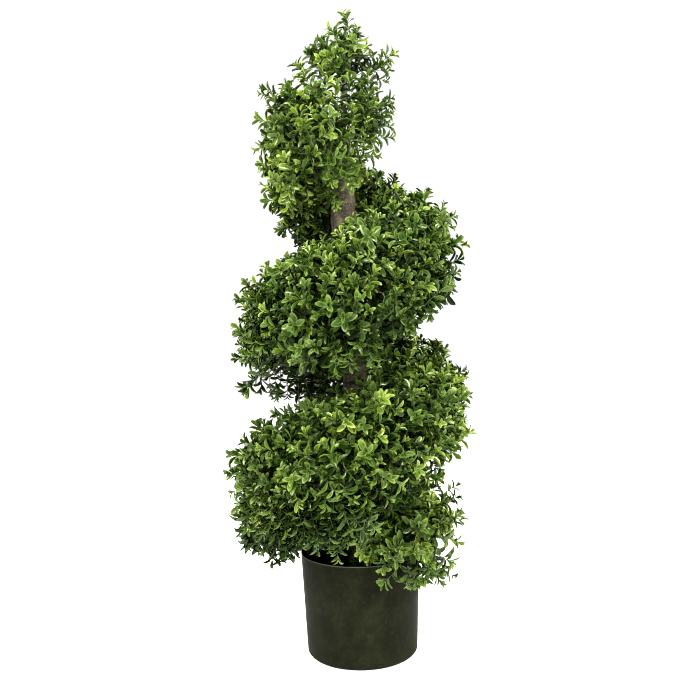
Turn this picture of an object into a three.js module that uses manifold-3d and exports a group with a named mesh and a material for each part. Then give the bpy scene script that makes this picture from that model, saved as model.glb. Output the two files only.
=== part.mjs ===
// Spiral topiary in a plastic pot: an artificial boxwood on a bark-wrapped pole.
// Millimetres, +Z up. The origin is the centre of the pot's flat underside.
// The foliage is one band that winds down round the pole, made as a row of masses, and
// each mass is carried by a bough that is plugged into the pole.
import * as THREE from "three";
import { mergeVertices } from "three/addons/utils/BufferGeometryUtils.js";
import Module from "manifold-3d";

const wasm = await Module();
wasm.setup();

// Driving dimensions
const SEAT_GAP = 0.3; // between a piece and what carries it
const MERGE = 1e-3; // vertices nearer than this are one
const ARC_STEPS = 4; // straight steps in a rounded corner

const POT = {
  height: 167,
  footRadius: 92.5,
  topRadius: 100.3,
  wall: 2.6,
  floor: 4,
  heelRadius: 5, // the round between the wall and the flat underside
  facets: 40,
};
const FILLING_TOP = 118; // the weighted filling ends this high, below the rim

const TRUNK = {
  footRadius: 19.6,
  topRadius: 18.6,
  flare: 2.4, // how much wider the foot is where it leaves the filling
  flareHeight: 30,
  top: 794, // the pole's flat cut
  lean: -14, // sideways shift of the cut from the foot
  leanFrom: 400, // the pole is upright up to here
  barkDepth: 0.7,
  barkPitch: [23, 37], // how fast the bark's two sets of lumps twist with height
  facets: 18,
  rows: 16,
};
const LEADER = { footRadius: 6, topRadius: 4, top: 1046, facets: 10 };

// The band of foliage at each half turn, from the right-hand side near the top, winding
// clockwise seen from above: its lower and upper edge, and how far it reaches from the axis.
const STATIONS = [
  { low: 858, high: 985, reach: 73 },
  { low: 720, high: 992, reach: 148 },
  { low: 578, high: 792, reach: 195 },
  { low: 426, high: 654, reach: 202 },
  { low: 328, high: 528, reach: 194 },
  { low: 162, high: 412, reach: 219 },
  { low: 118, high: 296, reach: 176 },
  { low: 126, high: 210, reach: 120 },
];
const BAND = {
  startTurn: -0.3,
  startLow: 925,
  startReach: 56,
  endTurn: 3.2,
  masses: 20,
  innerRadius: 3,
  squareness: 3.2, // power of the section's rounded square, where 2 is an ellipse
  slope: 26, // how far the upper edge falls towards the rim
  droop: 12, // how far the whole section sinks towards the rim
  tipTurns: 0.15, // the last stretch, which narrows to the tip
  tipShare: 0.45, // the tip's size against the full section
};
const CROWN = { base: 965, top: 1078, radius: 63, fullness: 2.6, facets: 16, rows: 6 };
const UNEVEN = { depth: 6, wavelengths: [71, 53, 88] };
const GRID = { along: 4, across: 4, up: 5 }; // facets of one mass

const RING = 14; // free space between the pole or the leader and the masses
const POT_CLEARANCE = 8;
const BOUGH = { footRadius: 4.4, tipRadius: 3.4, rise: 0.3, seatShare: 0.45, facets: 6 };

const HALF_PI = Math.PI / 2;
const { lerp, clamp, smoothstep } = THREE.MathUtils;

// Materials
const finish = (color, roughness) => new THREE.MeshStandardMaterial({ color, roughness });
const potPlastic = finish(0x2b3027, 0.55);
const cement = finish(0x1f1d19, 0.95);
const bark = finish(0x6b5d4e, 0.9);
const stemPlastic = finish(0x4a3a22, 0.7);
const leafPlastic = finish(0x4f7d2e, 0.5);

// Solids
function solidOf(geometry) {
  geometry.deleteAttribute("normal");
  geometry.deleteAttribute("uv");
  const merged = mergeVertices(geometry, MERGE);
  return new wasm.Manifold(
    new wasm.Mesh({
      numProp: 3,
      vertProperties: merged.getAttribute("position").array,
      triVerts: new Uint32Array(merged.getIndex().array),
    }),
  );
}

function geometryOf(solid) {
  const { vertProperties, triVerts } = solid.getMesh();
  const geometry = new THREE.BufferGeometry();
  geometry.setAttribute("position", new THREE.BufferAttribute(vertProperties, 3));
  geometry.setIndex(new THREE.BufferAttribute(triVerts, 1));
  return geometry;
}

function meshOf(name, solid, material) {
  const geometry = geometryOf(solid);
  geometry.computeVertexNormals();
  const mesh = new THREE.Mesh(geometry, material);
  mesh.name = name;
  return mesh;
}

// Moves every vertex of a geometry by a function that changes its point.
function reshape(geometry, move) {
  const position = geometry.getAttribute("position");
  const point = new THREE.Vector3();
  for (let i = 0; i < position.count; i++) {
    move(point.fromBufferAttribute(position, i));
    position.setXYZ(i, point.x, point.y, point.z);
  }
  return geometry;
}

// Turns an outline of radius and height about the Z axis.
function lathed(outline, facets) {
  return new THREE.LatheGeometry(outline.getPoints(ARC_STEPS), facets).rotateX(HALF_PI);
}

// Pot and filling
const wallRadius = (z) => lerp(POT.footRadius, POT.topRadius, z / POT.height);

function potSolid() {
  const { height, wall, floor, footRadius, heelRadius } = POT;
  const outline = new THREE.Path();
  outline.moveTo(0, 0);
  outline.lineTo(footRadius - heelRadius, 0);
  outline.absarc(footRadius - heelRadius, heelRadius, heelRadius, -HALF_PI, 0, false);
  outline.lineTo(wallRadius(height), height);
  outline.lineTo(wallRadius(height) - wall, height);
  outline.lineTo(wallRadius(floor) - wall, floor);
  outline.lineTo(0, floor);
  return solidOf(lathed(outline, POT.facets));
}

// The filling is cast round the foot of the pole.
function fillingSolid() {
  const radius = (z) => wallRadius(z) - POT.wall - SEAT_GAP;
  const foot = POT.floor + SEAT_GAP;
  const outline = new THREE.Path();
  outline.moveTo(0, foot);
  outline.lineTo(radius(foot), foot);
  outline.lineTo(radius(FILLING_TOP), FILLING_TOP);
  outline.lineTo(0, FILLING_TOP);
  return solidOf(lathed(outline, POT.facets)).subtract(poleSolid(SEAT_GAP, TRUNK.barkDepth));
}

// A round block on the ground: the room that the pot takes up, or all that is under a height.
function groundBlock(radius, height) {
  const block = new THREE.CylinderGeometry(radius, radius, height, POT.facets);
  return solidOf(block.rotateX(HALF_PI).translate(0, 0, height / 2));
}

// Pole and leader
// How far the axis of the pole, and of the leader over it, lies to one side at a height.
function leanAt(z) {
  const bend = TRUNK.lean * smoothstep(z, TRUNK.leanFrom, TRUNK.top);
  return lerp(bend, 0, clamp((z - TRUNK.top) / (LEADER.top - TRUNK.top), 0, 1));
}

// The pole, wider by spare all round. With no bark depth it is a plain round pole.
function poleSolid(spare, barkDepth) {
  const [coarse, fine] = TRUNK.barkPitch;
  const foot = POT.floor + SEAT_GAP - spare;
  const top = TRUNK.top + spare;
  const pole = new THREE.CylinderGeometry(1, 1, top - foot, TRUNK.facets, TRUNK.rows);
  pole.rotateX(HALF_PI).translate(0, 0, (foot + top) / 2);
  reshape(pole, (p) => {
    const angle = Math.atan2(p.y, p.x);
    const lump = Math.sin(3 * angle + p.z / coarse) + Math.sin(5 * angle - p.z / fine);
    const flare = TRUNK.flare * (1 - smoothstep(p.z - FILLING_TOP, 0, TRUNK.flareHeight));
    const girth = lerp(TRUNK.footRadius, TRUNK.topRadius, p.z / TRUNK.top) + flare;
    const radius = girth + spare - barkDepth * (1 - lump / 2);
    p.x = p.x * radius + leanAt(p.z);
    p.y *= radius;
  });
  return solidOf(pole);
}

function leaderSolid(spare) {
  const { footRadius, topRadius, facets } = LEADER;
  const foot = TRUNK.top + SEAT_GAP;
  const top = LEADER.top + spare;
  const stake = new THREE.CylinderGeometry(topRadius + spare, footRadius + spare, top - foot, facets);
  stake.rotateX(HALF_PI).translate(0, 0, (foot + top) / 2);
  return solidOf(reshape(stake, (p) => (p.x += leanAt(p.z))));
}

// Foliage
function unevenness(p) {
  const [a, b, c] = UNEVEN.wavelengths.map((wavelength) => (2 * Math.PI) / wavelength);
  const waves = Math.sin(p.x * a + p.z * b) + Math.sin(p.y * b - p.x * c) + Math.sin(p.z * c + p.y * a);
  return (UNEVEN.depth * waves) / 2;
}

// The band's edges and reach at a turn, between the half-turn stations.
function bandAt(turn) {
  const place = clamp(2 * turn, 0, STATIONS.length - 1);
  const index = Math.min(Math.floor(place), STATIONS.length - 2);
  const between = (key) => lerp(STATIONS[index][key], STATIONS[index + 1][key], place - index);
  const back = clamp(turn / BAND.startTurn, 0, 1);
  return {
    low: lerp(between("low"), BAND.startLow, back),
    high: between("high"),
    reach: lerp(between("reach"), BAND.startReach, back),
  };
}

// A box becomes one length of the band: its X runs round the axis and its Y outwards.
function bandSolid(from, to) {
  const power = BAND.squareness;
  const box = new THREE.BoxGeometry(1, 1, 1, GRID.along, GRID.across, GRID.up);
  reshape(box, (p) => {
    const [along, out, up] = [2 * p.x, 2 * p.y, 2 * p.z];
    const turn = lerp(from, to, (1 + along) / 2);
    const angle = -2 * Math.PI * turn;
    const radial = new THREE.Vector3(Math.cos(angle), Math.sin(angle), 0);
    const onward = new THREE.Vector3(Math.sin(angle), -Math.cos(angle), 0);
    const { low, high, reach } = bandAt(turn);

    const square = Math.max(Math.abs(out), Math.abs(up));
    const round = (Math.abs(out) ** power + Math.abs(up) ** power) ** (1 / power);
    const tip = clamp(1 + (turn - BAND.endTurn) / BAND.tipTurns, 0, 1);
    const size = (square / (round || 1)) * lerp(1, BAND.tipShare, tip ** 2);
    const outwards = (1 + out * size) / 2;
    const upwards = (1 + up * size) / 2;

    p.copy(radial).multiplyScalar(lerp(BAND.innerRadius, reach, outwards));
    p.z = lerp(low, high, upwards) - (BAND.slope * upwards + BAND.droop) * outwards ** 2;
    const lump = unevenness(p) * outwards;
    p.addScaledVector(radial, lump).addScaledVector(onward, (-along * SEAT_GAP) / 2);
    p.z += lump * up * size;
    p.x += leanAt((low + high) / 2);
  });
  return solidOf(box);
}

// The top of the plant: a dome over the end of the band.
function crownSolid(spare) {
  const { base, top, radius, fullness, facets, rows } = CROWN;
  const outline = new THREE.Path();
  outline.moveTo(0, base);
  for (let row = 0; row <= rows; row++) {
    const share = Math.sin((HALF_PI * row) / rows);
    outline.lineTo(radius * Math.sqrt(1 - share ** fullness), lerp(base, top, share));
  }
  const dome = reshape(lathed(outline, facets), (p) => {
    const widening = 1 + (unevenness(p) + spare) / radius;
    p.set(p.x * widening, p.y * widening, p.z - spare);
  });
  return solidOf(dome);
}

// A bough rises outwards from the axis of the pole, into the middle of its mass.
function boughSolid(turn) {
  const { footRadius, tipRadius, rise, seatShare, facets } = BOUGH;
  const length = 2 * (TRUNK.footRadius + RING);
  const { low, high } = bandAt(turn);
  const seat = lerp(low, high, seatShare);
  const bough = new THREE.CylinderGeometry(tipRadius, footRadius, length, facets);
  bough.translate(0, length / 2, 0).rotateZ(Math.atan(rise) - HALF_PI);
  bough.rotateX(HALF_PI).rotateZ(-2 * Math.PI * turn);
  return solidOf(bough.translate(leanAt(seat), 0, seat - rise * TRUNK.footRadius));
}

// Assembly
const ring = poleSolid(RING, 0).add(leaderSolid(RING));
const boughRoom = poleSolid(RING - SEAT_GAP, 0).add(leaderSolid(RING - SEAT_GAP));
const core = poleSolid(SEAT_GAP, TRUNK.barkDepth).add(leaderSolid(SEAT_GAP));
const overRim = POT.height + POT_CLEARANCE;
const potRoom = groundBlock(POT.topRadius + POT_CLEARANCE, overRim);
const keepClear = ring.add(potRoom).add(crownSolid(SEAT_GAP));
const farReach = 2 * Math.max(...STATIONS.map(({ reach }) => reach));

const plant = new THREE.Group();
plant.add(meshOf("pot", potSolid(), potPlastic));
plant.add(meshOf("pot_filling", fillingSolid(), cement));
plant.add(meshOf("trunk", poleSolid(0, TRUNK.barkDepth), bark));
plant.add(meshOf("leader", leaderSolid(0), stemPlastic));
plant.add(meshOf("crown_mass", crownSolid(0).subtract(leaderSolid(SEAT_GAP)), leafPlastic));

for (let index = 0; index < BAND.masses; index++) {
  const turnAt = (place) => lerp(BAND.startTurn, BAND.endTurn, place / BAND.masses);
  const middle = turnAt(index + 0.5);
  const number = String(index + 1).padStart(2, "0");
  const mass = bandSolid(turnAt(index), turnAt(index + 1)).subtract(keepClear);
  const bough = boughSolid(middle).intersect(boughRoom).subtract(core);
  plant.add(meshOf(`bough_${number}`, bough, stemPlastic));
  if (bandAt(middle).low > POT.height) {
    plant.add(meshOf(`mass_${number}`, mass, leafPlastic));
    continue;
  }
  // Where the band hangs over the rim, the part outside the pot is a mass of its own.
  const upper = mass.subtract(groundBlock(farReach, overRim));
  const skirt = mass.intersect(groundBlock(farReach, overRim - SEAT_GAP));
  plant.add(meshOf(`mass_${number}`, upper, leafPlastic));
  plant.add(meshOf(`skirt_${number}`, skirt, leafPlastic));
}

export default plant;
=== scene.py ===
"""Spiral topiary: an artificial boxwood on a bark-wrapped pole, in a plastic nursery pot.

Moulded leaves sit in pairs on plastic shoots, the shoots branch from stems, the stems fan out from
boughs that are plugged into the pole, and the pole stands in a weighted filling in the pot.
Everything is in metres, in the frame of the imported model.
"""

import logging
import math
from collections.abc import Callable
from dataclasses import dataclass, field, fields
from enum import Enum
from typing import ClassVar, Self

import bmesh
import bpy
import numpy as np
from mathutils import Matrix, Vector, noise
from mathutils.bvhtree import BVHTree


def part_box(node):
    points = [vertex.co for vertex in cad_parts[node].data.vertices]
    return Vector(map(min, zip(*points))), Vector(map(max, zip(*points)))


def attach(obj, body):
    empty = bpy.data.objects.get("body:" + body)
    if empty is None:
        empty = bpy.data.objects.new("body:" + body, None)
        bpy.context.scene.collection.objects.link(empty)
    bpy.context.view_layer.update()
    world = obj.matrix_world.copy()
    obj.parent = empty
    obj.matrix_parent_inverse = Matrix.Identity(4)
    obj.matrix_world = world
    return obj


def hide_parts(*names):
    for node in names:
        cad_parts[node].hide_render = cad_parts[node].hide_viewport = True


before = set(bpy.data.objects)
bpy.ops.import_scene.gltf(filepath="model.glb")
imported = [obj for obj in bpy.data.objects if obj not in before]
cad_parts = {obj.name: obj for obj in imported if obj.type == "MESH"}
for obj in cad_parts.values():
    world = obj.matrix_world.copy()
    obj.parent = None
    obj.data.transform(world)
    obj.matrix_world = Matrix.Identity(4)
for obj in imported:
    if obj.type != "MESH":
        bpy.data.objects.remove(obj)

LOG = logging.getLogger("topiary")
MM = 0.001
SEED = 7
BODY = "root"
LEAF_MAP = "OFBake"  # the name of the leaves' own map, which their material reads
MOST_TRIANGLES = 190_000  # in one piece
SAME_PLACE = 0.01 * MM  # corners this near each other are one
UP = np.array((0.0, 0.0, 1.0))
LEVEL = np.array((1, 1, 0))  # takes the height out of a vector
STEEP = 0.9  # a direction whose upward part is greater counts as upright
BESIDE_UP = UP + 0.01  # so that an upright shoot has a right-hand side too

Triple = tuple[float, float, float]
Line = tuple[np.ndarray, np.ndarray]  # the points of a centre line and the radius at each


# ---------------------------------------------------------------- colours, nodes and pieces


def linear(code: str) -> tuple[float, float, float, float]:
    """Turns an sRGB hex colour into the linear colour that the shaders take.

    Args:
        code: Six hex digits after a number sign.

    Returns:
        Red, green and blue in linear light, and an alpha of one.
    """
    parts = [int(code[place : place + 2], 16) / 255 for place in (1, 3, 5)]
    light = [c / 12.92 if c <= 0.04045 else ((c + 0.055) / 1.055) ** 2.4 for c in parts]
    return (*light, 1.0)


def add_node(
    tree: bpy.types.NodeTree,
    kind: str,
    inputs: dict | None = None,
    stops: list[tuple[float, str]] | None = None,
    **settings: object,
) -> bpy.types.Node:
    """Adds a node to a material with its settings and its links.

    Args:
        tree: The material's node tree.
        kind: The node's type, without the leading ShaderNode.
        inputs: Values or output sockets by input name or number.
        stops: For a colour ramp, the place and hex colour of each stop.
        settings: Attributes of the node.

    Returns:
        The new node.
    """
    node = tree.nodes.new(f"ShaderNode{kind}")
    for name, value in settings.items():
        setattr(node, name, value)
    for key, value in (inputs or {}).items():
        if isinstance(value, bpy.types.NodeSocket):
            tree.links.new(value, node.inputs[key])
        else:
            node.inputs[key].default_value = value
    if stops:
        ramp = node.color_ramp.elements
        while len(ramp) < len(stops):
            ramp.new(1.0)
        for element, (place, code) in zip(ramp, stops, strict=True):
            element.position = place
            element.color = linear(code)
    return node


def new_material(name: str) -> tuple[bpy.types.Material, bpy.types.NodeTree]:
    """Makes an empty node material.

    Args:
        name: The material's name.

    Returns:
        The material and its node tree.
    """
    material = bpy.data.materials.new(name)
    material.use_nodes = True
    material.node_tree.nodes.clear()
    return material, material.node_tree


def finish_surface(tree: bpy.types.NodeTree, inputs: dict) -> None:
    """Ends a material's tree with a Principled shader that takes these inputs."""
    shader = add_node(tree, "BsdfPrincipled", inputs)
    add_node(tree, "OutputMaterial", {"Surface": shader.outputs["BSDF"]})


def show(
    name: str,
    mesh: bpy.types.Mesh,
    material: bpy.types.Material,
    replaced: tuple[str, ...] = (),
) -> bpy.types.Object:
    """Turns a mesh into a piece of the plant.

    Args:
        name: The piece's name.
        mesh: Its mesh, with its place in its vertices.
        material: Its finish.
        replaced: The solids that the piece stands for.

    Returns:
        The piece's object.
    """
    piece = bpy.data.objects.new(name, mesh)
    bpy.context.scene.collection.objects.link(piece)
    mesh.materials.append(material)
    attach(piece, BODY)
    if replaced:
        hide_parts(*replaced)
    triangles = sum(len(face.vertices) - 2 for face in mesh.polygons)
    LOG.info("%s: %d triangles", name, triangles)
    return piece


def mesh_from(name: str, shape: bmesh.types.BMesh, smooth: bool = True) -> bpy.types.Mesh:
    """Writes a shape to a new mesh and frees it.

    Args:
        name: The mesh's name.
        shape: The shape.
        smooth: Whether its faces are shaded smooth.

    Returns:
        The mesh.
    """
    mesh = bpy.data.meshes.new(name)
    for face in shape.faces:
        face.smooth = smooth
    shape.to_mesh(mesh)
    shape.free()
    return mesh


def corners_of(node: str) -> np.ndarray:
    """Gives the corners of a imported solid, one in each row."""
    return np.array([vertex.co[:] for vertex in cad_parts[node].data.vertices])


def place_in(node: str, shares: Triple) -> np.ndarray:
    """Gives the place that lies at these shares of the sides of a solid's box."""
    low, high = (np.array(corner[:]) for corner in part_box(node))
    return low + np.array(shares) * (high - low)


def spun(outline: list[tuple[float, float]], steps: int) -> bmesh.types.BMesh:
    """Spins a section round the upright axis.

    Args:
        outline: The section's corners as radius and height, from the axis back to the axis.
        steps: The steps of the turn.

    Returns:
        The closed shape.
    """
    shape = bmesh.new()
    corners = [shape.verts.new((radius, 0, height)) for radius, height in outline]
    edges = [shape.edges.new(pair) for pair in zip(corners, corners[1:])]
    bmesh.ops.spin(
        shape,
        geom=corners + edges,
        axis=(0, 0, 1),
        cent=(0, 0, 0),
        angle=2 * math.pi,
        steps=steps,
        use_merge=True,
    )
    bmesh.ops.remove_doubles(shape, verts=shape.verts[:], dist=SAME_PLACE)
    bmesh.ops.recalc_face_normals(shape, faces=shape.faces[:])
    return shape


# ---------------------------------------------------------------- finishes


@dataclass(frozen=True)
class PotPlastic:
    """Blow-moulded polyethylene, nearly black green.

    The skin is matt with a soft sheen at a low angle. Handling leaves it dusty in broad blotches,
    and the mould leaves a fine ripple that breaks the sheen up. The pale band along the top of the
    rim is a painted highlight.
    """

    base: str = "#0e1006"
    dusty: str = "#17190c"
    scuffed: str = "#2a2c20"
    rim_highlight: str = "#4a4c3c"  # a painted highlight along the top of the rim
    edge: str = "#8e5c1c"  # the brownish bloom that shows at a low angle
    blotch_mm: float = 30
    scuff_mm: float = 7
    ripple_mm: float = 6
    rim_highlight_mm: tuple[float, float] = (1.6, 0.6)  # under the top, where the painted rim highlight starts and where it is full
    roughness: tuple[float, float] = (0.5, 0.68)
    gloss: float = 0.03

    def material(self) -> bpy.types.Material:
        """Makes the material.

        Returns:
            The material.
        """
        material, tree = new_material("moulded_polyethylene")
        place = add_node(tree, "TexCoord").outputs["Object"]
        blotch, scuff, ripple = (
            add_node(
                tree,
                "TexNoise",
                {"Vector": place, "Scale": 1 / (size * MM), "Detail": detail, "Roughness": rough},
            ).outputs["Fac"]
            for size, detail, rough in (
                (self.blotch_mm, 5.0, 0.5),
                (self.scuff_mm, 6.0, 0.6),
                (self.ripple_mm, 2.0, 0.5),
            )
        )
        scuffed = add_node(
            tree, "MapRange", {"Value": scuff, "From Min": 0.52, "From Max": 0.8, "To Max": 0.4}
        ).outputs["Result"]
        height = add_node(tree, "SeparateXYZ", {"Vector": place}).outputs["Z"]
        # the top of the rim is painted lighter: a painted highlight
        start, end = (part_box("pot")[1][2] - under * MM for under in self.rim_highlight_mm)
        rim_highlight_share = add_node(
            tree, "MapRange", {"Value": height, "From Min": start, "From Max": end}
        ).outputs["Result"]
        low, high = self.roughness
        rough = add_node(
            tree,
            "MapRange",
            {"Value": blotch, "From Min": 0.3, "From Max": 0.7, "To Min": low, "To Max": high},
        ).outputs["Result"]
        stops = [(0.4, self.base), (0.66, self.dusty)]
        colour = add_node(tree, "ValToRGB", {"Fac": blotch}, stops).outputs["Color"]
        for amount, other in ((scuffed, self.scuffed), (rim_highlight_share, self.rim_highlight)):
            mixed = {"Factor": amount, "A": colour, "B": linear(other)}
            colour = add_node(tree, "Mix", mixed, data_type="RGBA").outputs["Result"]
        bump = add_node(tree, "Bump", {"Height": ripple, "Strength": 0.12, "Distance": MM})
        finish_surface(
            tree,
            {
                "Base Color": colour,
                "Roughness": rough,
                "Specular IOR Level": self.gloss,
                "Sheen Weight": 0.17,
                "Sheen Roughness": 0.22,
                "Sheen Tint": linear(self.edge),
                "Normal": bump.outputs["Normal"],
            },
        )
        return material


@dataclass(frozen=True)
class CastFilling:
    """Cement cast in the pot: dark, dry and gritty, with no shine."""

    base: str = "#1b1a17"
    light: str = "#34302a"
    grit_mm: float = 3

    def material(self) -> bpy.types.Material:
        """Makes the material.

        Returns:
            The material.
        """
        material, tree = new_material("cast_cement")
        place = add_node(tree, "TexCoord").outputs["Object"]
        grit = add_node(
            tree, "TexNoise", {"Vector": place, "Scale": 1 / (self.grit_mm * MM), "Detail": 4.0}
        ).outputs["Fac"]
        stops = [(0.35, self.base), (0.75, self.light)]
        colour = add_node(tree, "ValToRGB", {"Fac": grit}, stops).outputs["Color"]
        bump = add_node(tree, "Bump", {"Height": grit, "Strength": 0.6, "Distance": MM})
        finish_surface(
            tree, {"Base Color": colour, "Roughness": 0.95, "Normal": bump.outputs["Normal"]}
        )
        return material


@dataclass(frozen=True)
class Bark:
    """Cork bark ground up and pressed round the pole.

    The crumbs give a grey-brown speckle a few millimetres across over broad olive and pale
    patches. It is dead matt, and the dark between the crumbs is deep.
    """

    dark: str = "#120f09"
    brown: str = "#393023"
    pale: str = "#685e47"
    patch_mm: float = 16
    crumb_mm: float = 2.6
    crumb_share: float = 0.62  # of the crumbs in the colour, against the patches

    def material(self) -> bpy.types.Material:
        """Makes the material.

        Returns:
            The material.
        """
        material, tree = new_material("pressed_cork_bark")
        place = add_node(tree, "TexCoord").outputs["Object"]
        patch, crumb = (
            add_node(
                tree,
                "TexNoise",
                {"Vector": place, "Scale": 1 / (size * MM), "Detail": 4.0, "Roughness": rough},
            ).outputs["Fac"]
            for size, rough in ((self.patch_mm, 0.5), (self.crumb_mm, 0.7))
        )
        both = {"Factor": self.crumb_share, "A": patch, "B": crumb}
        mixed = add_node(tree, "Mix", both, data_type="FLOAT").outputs["Result"]
        stops = [(0.4, self.dark), (0.5, self.brown), (0.62, self.pale)]
        colour = add_node(tree, "ValToRGB", {"Fac": mixed}, stops).outputs["Color"]
        bump = add_node(tree, "Bump", {"Height": crumb, "Strength": 0.8, "Distance": 1.5 * MM})
        finish_surface(
            tree, {"Base Color": colour, "Roughness": 0.95, "Normal": bump.outputs["Normal"]}
        )
        return material


@dataclass(frozen=True)
class StemPlastic:
    """Polyethylene moulded over wire: satin, with slow shifts of colour from the mould."""

    name: str
    base: str
    light: str
    shift_mm: float = 14

    def material(self) -> bpy.types.Material:
        """Makes the material.

        Returns:
            The material.
        """
        material, tree = new_material(f"stem_plastic_{self.name}")
        place = add_node(tree, "TexCoord").outputs["Object"]
        shift = add_node(
            tree, "TexNoise", {"Vector": place, "Scale": 1 / (self.shift_mm * MM), "Detail": 3.0}
        ).outputs["Fac"]
        stops = [(0.35, self.base), (0.65, self.light)]
        colour = add_node(tree, "ValToRGB", {"Fac": shift}, stops).outputs["Color"]
        finish_surface(tree, {"Base Color": colour, "Roughness": 0.55})
        return material


@dataclass(frozen=True)
class LeafPlastic:
    """Moulded polyethylene leaf, dyed and then tinted paler along the margin and the tip. The
    darker, less glossy dyes are partly painted shade.

    The skin is half glossy, so each leaf catches a soft pale highlight on its crown. Three spans
    say where the margin, the tip and the rib start and end, and how strong they get.
    """

    name: str
    blade: str
    margin: str
    gloss: float
    roughness: float = 0.25
    gloss_colour: str = "#e2e8bc"
    at_margin: Triple = (0.32, 0.47, 1.0)
    at_tip: Triple = (0.6, 1.0, 0.6)
    off_rib: Triple = (0.02, 0.12, 1.0)
    rib_paleness: float = 0.35

    def material(self) -> bpy.types.Material:
        """Makes the material, whose pattern follows the leaf's own map: across, then along.

        Returns:
            The material.
        """
        material, tree = new_material(f"leaf_plastic_{self.name}")
        place = add_node(tree, "UVMap", uv_map=LEAF_MAP).outputs["UV"]
        across, along, _ = add_node(tree, "SeparateXYZ", {"Vector": place}).outputs
        centred = add_node(tree, "Math", {0: across, 1: 0.5}, operation="SUBTRACT").outputs[0]
        aside = add_node(tree, "Math", {0: centred}, operation="ABSOLUTE").outputs[0]
        edge, tip, blade = (
            add_node(
                tree,
                "MapRange",
                {"Value": value, "From Min": start, "From Max": end, "To Max": most},
                interpolation_type="SMOOTHSTEP",
            ).outputs["Result"]
            for value, (start, end, most) in (
                (aside, self.at_margin),
                (along, self.at_tip),
                (aside, self.off_rib),
            )
        )
        rib = add_node(
            tree, "MapRange", {"Value": blade, "To Min": self.rib_paleness, "To Max": 0.0}
        ).outputs["Result"]
        paler = edge
        for other in (tip, rib):
            paler = add_node(tree, "Math", {0: paler, 1: other}, operation="MAXIMUM").outputs[0]
        mixed = {"Factor": paler, "A": linear(self.blade), "B": linear(self.margin)}
        colour = add_node(tree, "Mix", mixed, data_type="RGBA").outputs["Result"]
        bump = add_node(tree, "Bump", {"Height": blade, "Strength": 0.3, "Distance": 0.4 * MM})
        finish_surface(
            tree,
            {
                "Base Color": colour,
                "Roughness": self.roughness,
                "Specular IOR Level": self.gloss,
                "Specular Tint": linear(self.gloss_colour),
                "Normal": bump.outputs["Normal"],
            },
        )
        return material


class Tint(Enum):
    """The leaves' tints, from the young tips of the sprays to the shaded inside: partly their own
    colour, partly painted light and shade.
    """

    YOUNG = LeafPlastic("young", "#5c721f", "#9aa846", 0.46)
    FRESH = LeafPlastic("fresh", "#4a621c", "#82923a", 0.46)
    BRIGHT = LeafPlastic("bright", "#395018", "#6c822e", 0.46)
    MIDDLE = LeafPlastic("middle", "#2b4113", "#586e27", 0.42)
    DEEP = LeafPlastic("deep", "#1f320e", "#3f5519", 0.28)
    SHADED = LeafPlastic("shaded", "#17250a", "#2a3e10", 0.12)
    INNER = LeafPlastic("inner", "#161f0b", "#202c10", 0.08)


# ---------------------------------------------------------------- studio


@dataclass(frozen=True)
class SoftBox:
    """A square lamp, with the length of its side and its power in watts."""

    name: str
    place: Triple
    size: float
    power: float


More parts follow.
